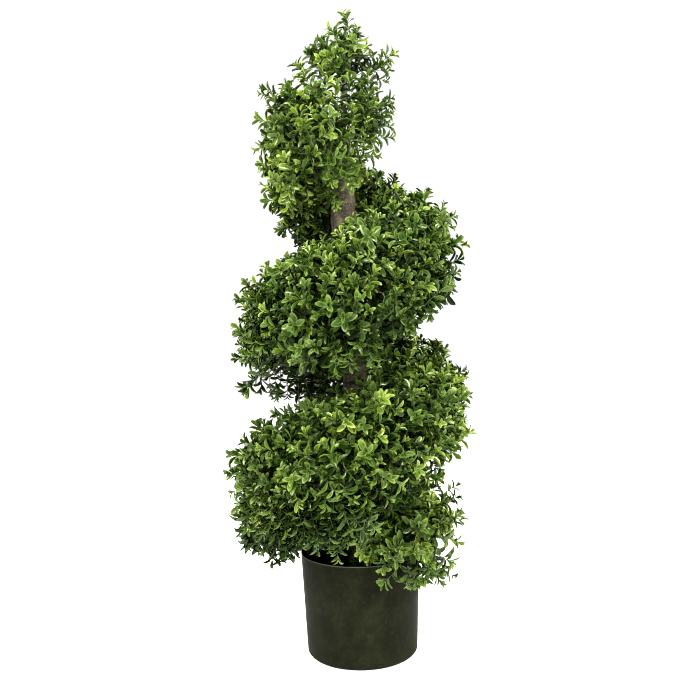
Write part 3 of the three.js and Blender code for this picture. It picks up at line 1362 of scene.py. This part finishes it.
@dataclass
class Foliage:
    """The sprays of leaves in place of the masses, grown by a seeded branching rule."""

    layers: tuple[Layer, ...] = (
        # each deeper layer's higher tone darkens its leaves: painted shade inside the foliage
        Layer("outer", (16.1 * MM, 7 * MM), 22 * MM, (50 * MM, 80 * MM), 0.34, 8, 1.15),
        Layer("middle", (28 * MM, 7 * MM), 23.5 * MM, (45 * MM, 65 * MM), 0.58, 7, 1.5),
        Layer("under", (46 * MM, 8 * MM), 25 * MM, (40 * MM, 55 * MM), 0.86, 6, 2.0),
    )
    thin_places: tuple[Thin, ...] = (
        Thin("mass_10", 0.22, 0.05),
        Thin("mass_11", 0.37, 0.05),
        Thin("mass_12", 0.4, 0.65),
        Thin("mass_14", 0.27, 0.5),
    )
    # a swell's fifth number is painted shade there, and painted light where it is below nought
    swells: tuple[Swell, ...] = (
        Swell("crown_mass", (0.85, 0.4, 0.85), -12, 28),
        Swell("crown_mass", (0.7, 0.4, 1.0), -20, 34),
        Swell("crown_mass", (0.5, 0.45, 1.0), -14, 26),
        Swell("crown_mass", (0.22, 0.4, 0.93), 7, 18),
        Swell("crown_mass", (0.09, 0.25, 0.12), 3, 22),
        Swell("crown_mass", (0.95, 0.45, 0), 7, 22),
        Swell("mass_03", (0.55, 0.31, 0.13), 17, 25),
        Swell("mass_03", (0.96, 0.6, 0.55), -6, 45),
        Swell("mass_05", (0.2, 0.42, 0.13), -26, 40),
        Swell("mass_05", (0.11, 0.59, 0.16), -15, 30),
        Swell("mass_06", (0.1, 0.33, 0.31), -15, 30),
        Swell("mass_08", (0.38, 0.81, 0.96), 6, 28),
        Swell("mass_08", (0.9, 0.19, 0.32), -16, 45),
        Swell("mass_08", (0.75, 0.4, 0.75), -11, 34, -0.06),
        Swell("mass_09", (0.95, 0.43, 0.32), -24, 38),
        Swell("mass_10", (0.08, 0.73, 0.66), 5, 25),
        Swell("mass_10", (0.01, 0.71, 0.28), 8, 20),
        Swell("mass_05", (0.35, 0.42, 0.14), -5, 55, -0.34),
        Swell("mass_16", (0.24, 0.49, 0.19), -6, 60, -0.23),
        Swell("mass_16", (0.37, 0.25, 0.31), 0, 45, -0.14),
        Swell("mass_16", (0.11, 0.64, 0.59), -6, 40),
        Swell("mass_16", (0.31, 0.46, 0.16), -16, 40),
        Swell("mass_16", (0.14, 0.5, 0.12), -9, 30),
        Swell("mass_13", (0.9, 0.3, 0.1), -8, 30),
        Swell("mass_13", (0.75, 0.1, 0.6), 0, 50, 0.16),
        Swell("mass_13", (0.36, 0.04, 0.62), 0, 45, 0.2),
        Swell("mass_14", (0.28, 0.35, 0.69), 0, 35, 0.08),
        Swell("mass_14", (0.25, 0.48, 0.84), 0, 42, 0.22),
        Swell("mass_14", (0.6, 0.14, 0.64), 0, 50, 0.27),
        Swell("mass_08", (0.43, 0.23, 0.68), 0, 45, -0.1),
        Swell("mass_14", (0.42, 0.2, 0.27), 0, 45, -0.14),
        Swell("mass_19", (0.73, 0.03, 0.5), 0, 36, -0.14),
        Swell("mass_11", (0.2, 0.3, 0.43), -2, 50, -0.08),
        Swell("mass_14", (0.85, 0.32, 0.34), -12, 34),
        Swell("mass_14", (0.67, 0.12, 0.19), -9, 35),
        Swell("mass_19", (0.9, 0, 0.28), -11, 40),
        Swell("mass_20", (0.88, 0.41, 0.01), -12, 40),
        Swell("skirt_20", (0.1, 0.1, 0.5), -22, 34),
        Swell("skirt_20", (0.35, 0.1, 0.4), -28, 36),
        Swell("skirt_20", (0.7, 0.3, 0.1), -6, 34),
    )
    tufts: tuple[Tuft, ...] = (
        Tuft("crown_mass", (0.3, 0.4, 0.92), (-0.1, 0, 1), -9, 4, 40),
        Tuft("crown_mass", (0.09, 0.25, 0.12), (-0.8, -0.3, 0.5), 9, 4, 30, 0.46, 7, False),
        Tuft("crown_mass", (0.41, 0.01, 0.07), (0, -1, 0.3), 2, 4, 34, 0.5, 7, False),
        Tuft("crown_mass", (0.2, 0.1, 0), (-0.2, -1, 0.1), 14, 2, 24, 0.1, 6, False),
        Tuft("crown_mass", (0.95, 0.45, 0), (1, -0.1, 0.1), 10, 4, 30, 0.5),
        Tuft("crown_mass", (0.98, 0.48, 0.28), (1, -0.2, 0.15), 20, 2, 18),
        Tuft("mass_03", (0.96, 0.76, 0.7), (1, 0, 0.15), 5, 3, 30),
        Tuft("mass_03", (0.96, 0.53, 0.4), (1, 0, 0.1), 7, 3, 30),
        Tuft("mass_05", (0.18, 0.39, 0.84), (-1, -0.1, 0.3), 9, 2, 25),
        Tuft("mass_04", (0.13, 0.46, 0.84), (-0.5, 0, 1), 2, 3, 35),
        Tuft("mass_04", (0.72, 0.65, 0.11), (0.1, -0.8, -0.6), 30, 3, 22, 0.34, 6, False),
        Tuft("mass_04", (0.88, 0.4, 0.18), (0.3, -0.7, -0.8), 38, 3, 22, 0.3, 6, False),
        Tuft("mass_03", (0.12, 0.5, 0.02), (0.3, -0.7, -0.6), 20, 2, 16, 0.34, 6, False),
        Tuft("mass_07", (0.31, 0.09, 0.54), (0.3, -1, 0.2), 0, 6, 40, 0.5, 7, False),
        Tuft("mass_08", (0.7, 0.45, 0.8), (0.5, 0, 1), -2, 4, 60),
        Tuft("mass_08", (0.89, 0.25, 0.5), (1, -0.1, 0), 8, 4, 60),
        Tuft("mass_09", (0.13, 0.3, 0.05), (0, -0.2, -1), 27, 12, 55, 0.5),
        Tuft("mass_10", (0.84, 0.9, 0.1), (0.2, -0.3, -1), 12, 6, 45, 0.65),
        Tuft("mass_10", (0.1, 0.76, 0.06), (-0.8, 0, -1), 12, 2, 24, 0.6, 4, False),
        Tuft("mass_10", (0.34, 0.81, 0.02), (0.1, 0, -1), -2, 2, 45, 0.6, 4, False),
        Tuft("mass_11", (0.09, 0.52, 0.26), (-1, 0, -0.4), 2, 2, 40, 0.6, 4, False),
        Tuft("mass_11", (0.34, 0.33, 0.11), (-0.2, 0, -1), -8, 1, 35, 0.6, 4, False),
        Tuft("mass_11", (0.52, 0.33, 0.1), (0.2, 0, -1), -6, 2, 35, 0.6, 5),
        Tuft("mass_13", (0.59, 0.47, 0.8), (0.4, -0.1, 1), 8, 5, 50),
        Tuft("mass_13", (0.74, 0.1, 0.72), (0.5, -0.1, 1), 8, 4, 40),
        Tuft("mass_13", (0.88, 0.14, 0.62), (0.7, -0.1, 0.8), 8, 4, 40),
        Tuft("mass_19", (0.87, 0.32, 0.55), (1, 0, 0.2), 14, 3, 40, 0.45, 6),
        Tuft("mass_20", (0.87, 0.82, 0.6), (1, 0, 0.2), 14, 3, 40, 0.4, 6),
        Tuft("mass_20", (0, 0.74, 0.15), (-1, -0.7, 0), 32, 5, 28, 0.45, 7, False),
        Tuft("mass_20", (0.07, 0.39, 0.24), (-1, -0.6, 0), 30, 7, 36, 0.3, 7, False),
        Tuft("mass_20", (0.06, 0.42, 0), (-0.25, -0.95, 0.08), 66, 4, 24, 0.36, 6, False),
        Tuft("mass_20", (0.18, 0.2, 0), (-0.3, -0.9, 0.1), 32, 4, 30, 0.4, 6, False),
        Tuft("mass_20", (0.12, 0.3, 0.06), (-0.5, -0.9, 0.05), 20, 6, 36, 0.42, 6, False),
        Tuft("skirt_20", (0.25, 0.09, 0.56), (0.1, -0.6, -0.6), 5, 2, 22, 0.38, 6, False),
        Tuft("skirt_20", (0.68, 0.2, 0.7), (0.6, -0.6, -0.2), 2, 4, 34, 0.36, 6, False),
        Tuft("skirt_20", (0.85, 0.4, 0.6), (0.8, -0.4, -0.3), 2, 2, 34, 0.5, 6),
        Tuft("mass_20", (0.6, 0.12, 0.05), (0.2, -1, -0.2), 6, 6, 50, 0.3, 7, False),
        Tuft("mass_15", (0.38, 0.22, 0.1), (0.3, -0.2, -1), 22, 7, 50, 0.55),
        Tuft("mass_15", (0.2, 0.34, 0.03), (0.2, -0.2, -1), 10, 6, 50, 0.68),
        Tuft("mass_15", (0.34, 0.38, 0.06), (-0.1, -0.5, -1), 32, 4, 18, 0.36, 6, False),
        Tuft("skirt_20", (0.03, 0.16, 0.67), (-1, -0.35, 0.25), 36, 2, 24, 0.26, 6, False),
        # dark sprays hung into the hollow over the pot: painted shade
        Tuft("mass_16", (0.54, 0.51, 0.13), (-0.1, -0.3, -1), 14, 5, 35, 0.75, 6),
        Tuft("mass_16", (0.48, 0.55, 0.08), (-0.1, -0.2, -1), 12, 2, 36, 0.6, 6),
        Tuft("mass_17", (0.74, 0.02, 0.02), (0.3, -0.2, -1), 12, 6, 50, 0.7, 6),
        Tuft("mass_18", (0.26, 0.29, 0.02), (0, -0.3, -1), 10, 6, 50, 0.75, 6),
    )
    candidates: int = 12_000
    tuft_tries: int = 1500
    stems_per_mass: int = 7
    habit: LeafHabit = LeafHabit()
    mouth: Triple = (115 * MM, 225 * MM, 30 * MM)  # the pot's mouth: reach, height and fade of the painted shade over it
    cover: float = 4 * MM  # how deep the foot of a shoot lies under the skin, at least
    shallowest: float = 1 * MM  # how deep its tip lies, at least
    skirt_share: float = 0.5  # of the depth elsewhere, in the skirts
    fit: float = 0.6  # of its depth, that a tip keeps from the skin on every side
    core: Triple = (60 * MM, 112 * MM, 174 * MM)  # reach of the pole, reach and height of the pot
    inward: float = -0.5  # the skin faces the pole where its outward part is less
    core_bare: float = 0.6  # the share of shoots that is left out there
    sway: tuple[float, float] = (0.55, 0.25)  # of a shoot's foot, astray and upwards
    lean: tuple[float, float] = (0.7, 0.3)  # how far the foot follows the tip and the sway
    lifts: tuple[float, float] = (0.8, 0.3)  # how far shoots are drawn up, upright and elsewhere
    astray: float = 0.42
    underneath: float = 0.4  # how far shoots of an underside turn from the skin to the side
    droop_span: tuple[float, float] = (0.48, 0.2)  # where the droop starts, and over what share
    drooped: Triple = (0.4, 0.8, 0.65)  # out of the skin, along the turn and down
    calmed: float = 0.4  # how much less drooping shoots stray
    much_droop: float = 0.3
    droop_pairs: int = 2  # how many more pairs of leaves a shoot has with much droop
    tone_spread: float = 0.1
    underside_painted_shade: tuple[float, float] = (0.22, 0.14)  # painted shade on undersides, and more with a droop
    upright_painted_light: float = 0.08  # how much lighter the upright masses are: painted light
    tail_painted_light: float = 0.12  # how much lighter the tail is: painted light
    mouth_painted_shade: float = 0.3  # painted shade: how much darker over the pot's mouth
    hang: float = 6  # in mm, how much further the sprays reach out of an underside
    hangs: dict[str, float] = field(
        default_factory=lambda: {"mass_09": 18, "mass_10": 10, "mass_15": 18, "mass_16": 12}
    )
    drooping: tuple[str, ...] = ("mass_15", "mass_16")
    tail: tuple[str, ...] = ("mass_19", "mass_20", "skirt_19", "skirt_20")
    upright: tuple[str, ...] = ("crown_mass", "mass_01", "mass_02", "mass_03", "mass_04")
    curly: tuple[str, ...] = ("crown_mass", "mass_01", "mass_02", "mass_03", "mass_12", "mass_13")
    # per mass, how much darker its sprays are, as painted shade; below nought, painted light
    darker: dict[str, float] = field(
        default_factory=lambda: {
            "crown_mass": 0.05, "mass_03": 0.04, "mass_04": -0.05, "mass_05": -0.09,
            "mass_06": 0.02, "mass_07": 0.03, "mass_08": 0.05, "mass_09": 0.04,
            "mass_10": 0.02, "mass_13": 0.15, "mass_14": -0.16, "mass_15": -0.03,
            "mass_16": 0.06, "mass_20": 0.02, "skirt_20": 0.08,
        }
    )
    branch: ThinStem = ThinStem(
        "branch_stems", 9, 6, (2.4 * MM, 1.2 * MM), StemPlastic("branch", "#343018", "#4a4426")
    )
    twig: ThinStem = ThinStem(
        "twigs", 5, 3, (1.1 * MM, 0.8 * MM), StemPlastic("twig", "#343a18", "#4a4e24")
    )
    shoot: ThinStem = ThinStem(
        "shoots", 6, 3, (0.7 * MM, 0.35 * MM), StemPlastic("shoot", "#263c14", "#385222")
    )
    crown_root: float = 0.72  # how far up the leader the stems of the crown start
    hub_rounds: int = 4
    first_joint: int = 2  # the number of the first point of a branch stem that may bear a twig
    stem_share: float = 0.72  # of the way to its hub that a branch stem goes
    stem_bow: float = 0.1  # of its length that it bows
    twig_bow: tuple[float, float] = (0.4, 15 * MM)  # of its span, and at most
    rim_gap: float = 2 * MM  # over the pot and the pole
    wall_inset: float = 3 * MM  # of the zone round the wall, from the rim's outside
    bark_gap: float = 1.5 * MM
    slacks: tuple[float, float] = (8 * MM, 9 * MM)  # either side of that zone, shoots and leaves
    shoot_shares: tuple[float, ...] = (0.55, 0.7, 0.85, 1.0)  # where a shoot is tested
    leaf_shares: Triple = (0.0, 0.5, 1.0)

    def __post_init__(self) -> None:
        """Measures the masses and opens the source of chance."""
        self.skin = Skin()
        self.draw = np.random.default_rng(SEED)

    def tips(self, layer: Layer) -> tuple[Spots, np.ndarray]:
        """Picks where the shoots of a layer end.

        Args:
            layer: The layer.

        Returns:
            The places of the skin over the tips, and the tips.
        """
        spots = self.skin.scatter(self.draw, self.candidates)
        hang = self.skin.each(spots, lambda name: self.hangs.get(name, self.hang)) * MM
        share = self.skin.each(spots, lambda name: self.skirt_share if "skirt" in name else 1.0)
        deep = share * self.draw.normal(*layer.depth, self.candidates) - hang * spots.under()
        deep -= self.swelling(spots.point, "further") * MM
        deep = np.maximum(deep, self.shallowest)
        tip = spots.point - spots.normal * deep[:, None]
        fits = self.skin.depth(tip) > np.minimum(deep, share * layer.depth[0]) * self.fit
        fits &= self.draw.random(self.candidates) > self.core_bare * self.facing_core(spots)
        spots, tip = spots.kept(fits), tip[fits]
        chosen = spaced(tip, layer.spacing * self.sparseness(layer, spots))
        return spots.kept(chosen), tip[chosen]

    def grow(self) -> Shoots:
        """Grows the shoots of every layer under the skin, and then those of the tufts.

        Returns:
            All shoots.
        """
        parts = []
        for layer in self.layers:
            spots, tip = self.tips(layer)
            count = len(tip)
            heading = self.heading(spots)
            length = self.draw.uniform(*layer.length, count)
            astray, upwards = self.sway
            sway = unit(heading + astray * self.draw.normal(size=(count, 3)) - upwards * UP)
            foot = tip - unit(heading * self.lean[0] + sway * self.lean[1]) * length[:, None]
            pull = tip - heading * (0.5 * length)[:, None]
            rooted = np.minimum(self.skin.depth(foot), self.skin.depth(pull)) > self.cover
            tone = self.tone(layer, spots)
            droops = self.droop(spots) > self.much_droop
            pairs = np.full(count, layer.pairs) - self.draw.integers(0, 2, count)
            pairs += self.droop_pairs * droops
            curly = self.skin.each(spots, lambda name: name in self.curly)
            curled = (curly | droops).astype(int)
            shoots = Shoots(foot, pull, tip, tone, pairs, spots.owner, curled).kept(rooted)
            parts.append(shoots)
            LOG.info("layer %s: %d of %d shoots", layer.name, len(shoots.tip), count)
        parts += [self.tuft(tuft) for tuft in self.tufts]
        return Shoots.heap(parts)

    def tuft(self, tuft: Tuft) -> Shoots:
        """Grows the sprays of one tuft.

        Args:
            tuft: Where they stand out.

        Returns:
            Its shoots.
        """
        number = self.skin.nodes.index(tuft.node)
        spots = self.skin.scatter(self.draw, self.tuft_tries, number)
        gap = np.linalg.norm(spots.point - place_in(tuft.node, tuft.place), axis=1)
        near = np.flatnonzero(gap < tuft.spread * MM)
        spacing = np.full(len(near), tuft.GAP * tuft.spread * MM)
        spots = spots.kept(near[spaced(spots.point[near], spacing)][: tuft.count])
        count = len(spots.point)
        astray = tuft.ASTRAY * self.draw.normal(size=(count, 3))
        heading = unit(unit(np.array(tuft.towards, dtype=float)) + astray)
        reach = tuft.reach * MM * self.draw.uniform(*tuft.REACHES, count)
        tip = spots.point + heading * reach[:, None]
        pull = spots.point - tuft.INWARD * (heading + spots.normal)
        back = unit(tuft.FOLLOWED * heading + spots.normal)
        foot = pull - back * self.draw.uniform(*tuft.ROOTS_MM, count)[:, None] * MM
        tone = tuft.tone + self.tone_spread * self.draw.normal(size=count)
        pairs, owner, curled = (np.full(count, v) for v in (tuft.pairs, number, int(tuft.curled)))
        return Shoots(foot, pull, tip, tone, pairs, owner, curled)

    def facing_core(self, spots: Spots) -> np.ndarray:
        """Says where the skin faces the pole or the pot from close by.

        Args:
            spots: The places on the skin.

        Returns:
            One for each place that does, otherwise nought.
        """
        radial = spots.point * LEVEL
        reach = np.linalg.norm(radial, axis=1)
        near_pole, near_pot, over_pot = self.core
        near = (reach < near_pole) | ((spots.point[:, 2] < over_pot) & (reach < near_pot))
        inward = (unit(radial) * spots.normal).sum(axis=1) < self.inward
        return (near & inward).astype(float)

    def sparseness(self, layer: Layer, spots: Spots) -> np.ndarray:
        """Says how much wider apart the shoots stand than elsewhere.

        Args:
            layer: The layer.
            spots: The places over the shoots.

        Returns:
            A factor for each shoot.
        """
        wider = self.skin.each(spots, lambda name: layer.thinner if name in self.upright else 1.0)
        for thin in self.thin_places:
            low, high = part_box(thin.node)
            within = spots.point[:, 2] < low[2] + thin.height * (high[2] - low[2])
            within &= spots.owner == self.skin.nodes.index(thin.node)
            wider[within] = 1 / math.sqrt(thin.kept)
        return wider

    def swelling(self, point: np.ndarray, measure: str) -> np.ndarray:
        """Adds up one measure of all swells, each of which fades away from its place.

        Args:
            point: The points to measure at.
            measure: The swells' field to add up.

        Returns:
            The sum at each point.
        """
        total = np.zeros(len(point))
        for swell in self.swells:
            gap = np.linalg.norm(point - place_in(swell.node, swell.place), axis=1)
            total += getattr(swell, measure) * np.exp(-((gap / (swell.spread * MM)) ** 2))
        return total

    def droop(self, spots: Spots) -> np.ndarray:
        """Says how far the shoots droop along the turn, from not at all to wholly.

        Args:
            spots: The places over the shoots.

        Returns:
            A share for each shoot.
        """
        start, span = self.droop_span
        droop = np.zeros(len(spots.point))
        for name in self.drooping:
            low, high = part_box(name)
            share = (spots.point[:, 2] - low[2]) / (high[2] - low[2])
            own = spots.owner == self.skin.nodes.index(name)
            droop[own] = np.clip((start - share[own]) / span, 0, 1)
        return droop

    def tone(self, layer: Layer, spots: Spots) -> np.ndarray:
        """Chooses how dark the leaves of each shoot are, from 0 to 1: a random spread with painted
        shade and painted light by place.

        Args:
            layer: The layer.
            spots: The places over the shoots.

        Returns:
            A tone for each shoot.
        """
        upper = self.skin.each(spots, lambda name: name in self.upright)
        tail = self.skin.each(spots, lambda name: name in self.tail)
        # each listed mass's painted shade and light
        own = self.skin.each(spots, lambda name: self.darker.get(name, 0.0))
        tone = layer.tone + self.tone_spread * self.draw.normal(size=len(spots.point))
        # undersides get painted shade, drooping ones more
        shaded, hanging = self.underside_painted_shade
        underneath = (shaded + hanging * self.droop(spots)) * spots.under()
        tone += own + underneath - self.upright_painted_light * upper - self.tail_painted_light * tail
        # painted shade over the pot's mouth
        reach, height, fade = self.mouth
        over_mouth = np.linalg.norm(spots.point[:, :2], axis=1) < reach
        shade = np.clip((height - spots.point[:, 2]) / fade, 0, 1) * over_mouth
        # the swells add their painted shade and light
        tone += self.mouth_painted_shade * shade * ~tail + self.swelling(spots.point, "darker")
        return tone

    def heading(self, spots: Spots) -> np.ndarray:
        """Chooses where each shoot points: out of the skin, drawn upwards, and a little astray.

        Args:
            spots: The places over the shoots.

        Returns:
            A direction for each shoot.
        """
        radial = unit(spots.point * LEVEL)
        under = np.clip(-spots.normal[:, 2:], 0, 1)
        most, least = self.lifts
        lift = self.skin.each(spots, lambda name: most if name in self.upright else least)[:, None]
        astray = self.astray * self.draw.normal(size=spots.normal.shape)
        turn = np.cross(UP, radial)
        aside = self.underneath * under
        drawn = spots.normal * (1 - aside) + lift * (1 - under) * UP + aside * radial
        droop = self.droop(spots)[:, None]
        out, along, down = self.drooped
        drooped = out * spots.normal + along * turn - down * UP
        drawn = (1 - droop) * drawn + droop * drooped
        return unit(drawn + astray * (1 - self.calmed * droop))

    def clear(self, points: np.ndarray, pot: Pot, pole: Line, slack: float) -> np.ndarray:
        """Finds what stays clear of the pot's wall and the pole.

        Args:
            points: Several points on each leaf or shoot.
            pot: The pot.
            pole: The pole's centre line and its radii.
            slack: How far either side of the wall's middle is too near.

        Returns:
            A mask of the leaves or shoots whose points are all clear.
        """
        reach = np.linalg.norm(points[..., :2], axis=-1)
        beside = points[..., 2] < pot.height + self.rim_gap
        touching = beside & (np.abs(reach - pot.top_radius + self.wall_inset) < slack)
        line, radii = pole
        middle = np.interp(points[..., 2], line[:, 2], line[:, 0])
        from_pole = np.hypot(points[..., 0] - middle, points[..., 1])
        low = points[..., 2] < line[-1, 2] + self.rim_gap
        touching |= low & (from_pole < radii.max() + self.bark_gap)
        return ~touching.any(axis=-1)

    def branches(self, feet: np.ndarray, root: np.ndarray) -> tuple[np.ndarray, np.ndarray]:
        """Fans branch stems out from a root towards the feet of a mass's shoots.

        Args:
            feet: The feet.
            root: Where the stems start.

        Returns:
            The points of each stem, and the number of the stem nearest to each foot.
        """
        count = min(self.stems_per_mass, len(feet))
        hubs = feet[self.draw.choice(len(feet), count, replace=False)]
        for _ in range(self.hub_rounds):
            nearest = np.linalg.norm(feet[:, None] - hubs[None], axis=2).argmin(axis=1)
            groups = [feet[nearest == number] for number in range(len(hubs))]
            hubs = np.stack(
                [group.mean(axis=0) if len(group) else hub for group, hub in zip(groups, hubs)]
            )
        reach = root + (hubs - root) * self.stem_share
        bow = 0.5 * UP + 0.5 * self.draw.normal(size=reach.shape)
        length = np.linalg.norm(reach - root, axis=1)[:, None]
        sag = (root + reach) / 2 + self.stem_bow * length * bow
        root = np.broadcast_to(root, reach.shape)
        return bend(root, sag, reach, self.branch.shares()), nearest

    def stems(self, shoots: Shoots, ends: dict[str, np.ndarray]) -> None:
        """Joins the shoots to the boughs with branch stems and twigs, and dresses all three.

        Args:
            shoots: The shoots.
            ends: The outer end of each bough.
        """
        branches, twigs = [], []
        for number, name in enumerate(self.skin.nodes):
            members = shoots.kept(shoots.owner == number)
            if not len(members.foot):
                continue
            if name == "crown_mass":
                low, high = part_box("leader")
                up = low[2] + self.crown_root * (high[2] - low[2])
                root = np.array([(low[0] + high[0]) / 2, 0, up])
            else:
                root = ends[f"bough_{name[-2:]}"]
            lines, nearest = self.branches(members.foot, root)
            branches.append(lines)
            for line, foot, pull in zip(lines[nearest], members.foot, members.pull, strict=True):
                gap = np.linalg.norm(line - foot, axis=1)
                joint = line[max(self.first_joint, int(gap.argmin()) - 1)]
                share, most = self.twig_bow
                bow = min(share * np.linalg.norm(foot - joint), most)
                twigs.append((joint, foot - unit(pull - foot) * bow, foot))
        self.branch.build(np.concatenate(branches))
        joints, pulls, feet = np.array(twigs).swapaxes(0, 1)
        self.twig.build(bend(joints, pulls, feet, self.twig.shares()))
        self.shoot.build(shoots.points(self.shoot.shares()))

    def build(self, pot: Pot, pole: Line, ends: dict[str, np.ndarray]) -> None:
        """Grows the shoots, sets their leaves and joins them to the boughs.

        Args:
            pot: The pot, whose wall is kept clear.
            pole: The pole's centre line and its radii.
            ends: The outer end of each bough.
        """
        for_shoots, for_leaves = self.slacks
        shoots = self.grow()
        along = shoots.points(np.array([self.shoot_shares]))
        shoots = shoots.kept(self.clear(along, pot, pole, for_shoots))
        leaves = self.habit.leaves(shoots, self.draw)
        shares = np.array(self.leaf_shares)[:, None]
        along = leaves.foot[:, None] + (leaves.along * leaves.length[:, None])[:, None] * shares
        leaves = leaves.kept(self.clear(along, pot, pole, for_leaves))
        LOG.info("leaves: %d", len(leaves.foot))
        leaves.build(tuple(self.skin.nodes))
        self.stems(shoots, ends)


def main() -> None:
    """Builds the studio and then the plant from the pot upwards."""
    logging.basicConfig(level=logging.INFO, format="%(name)s %(message)s")
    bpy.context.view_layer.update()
    studio = Studio()
    studio.camera()
    studio.floor()
    studio.light()
    pot = Pot()
    pot.build()
    Filling().build()
    limbs = Frame()
    ends = limbs.build()
    Foliage().build(pot, limbs.upright("trunk"), ends)


if __name__ == "__main__":
    main()
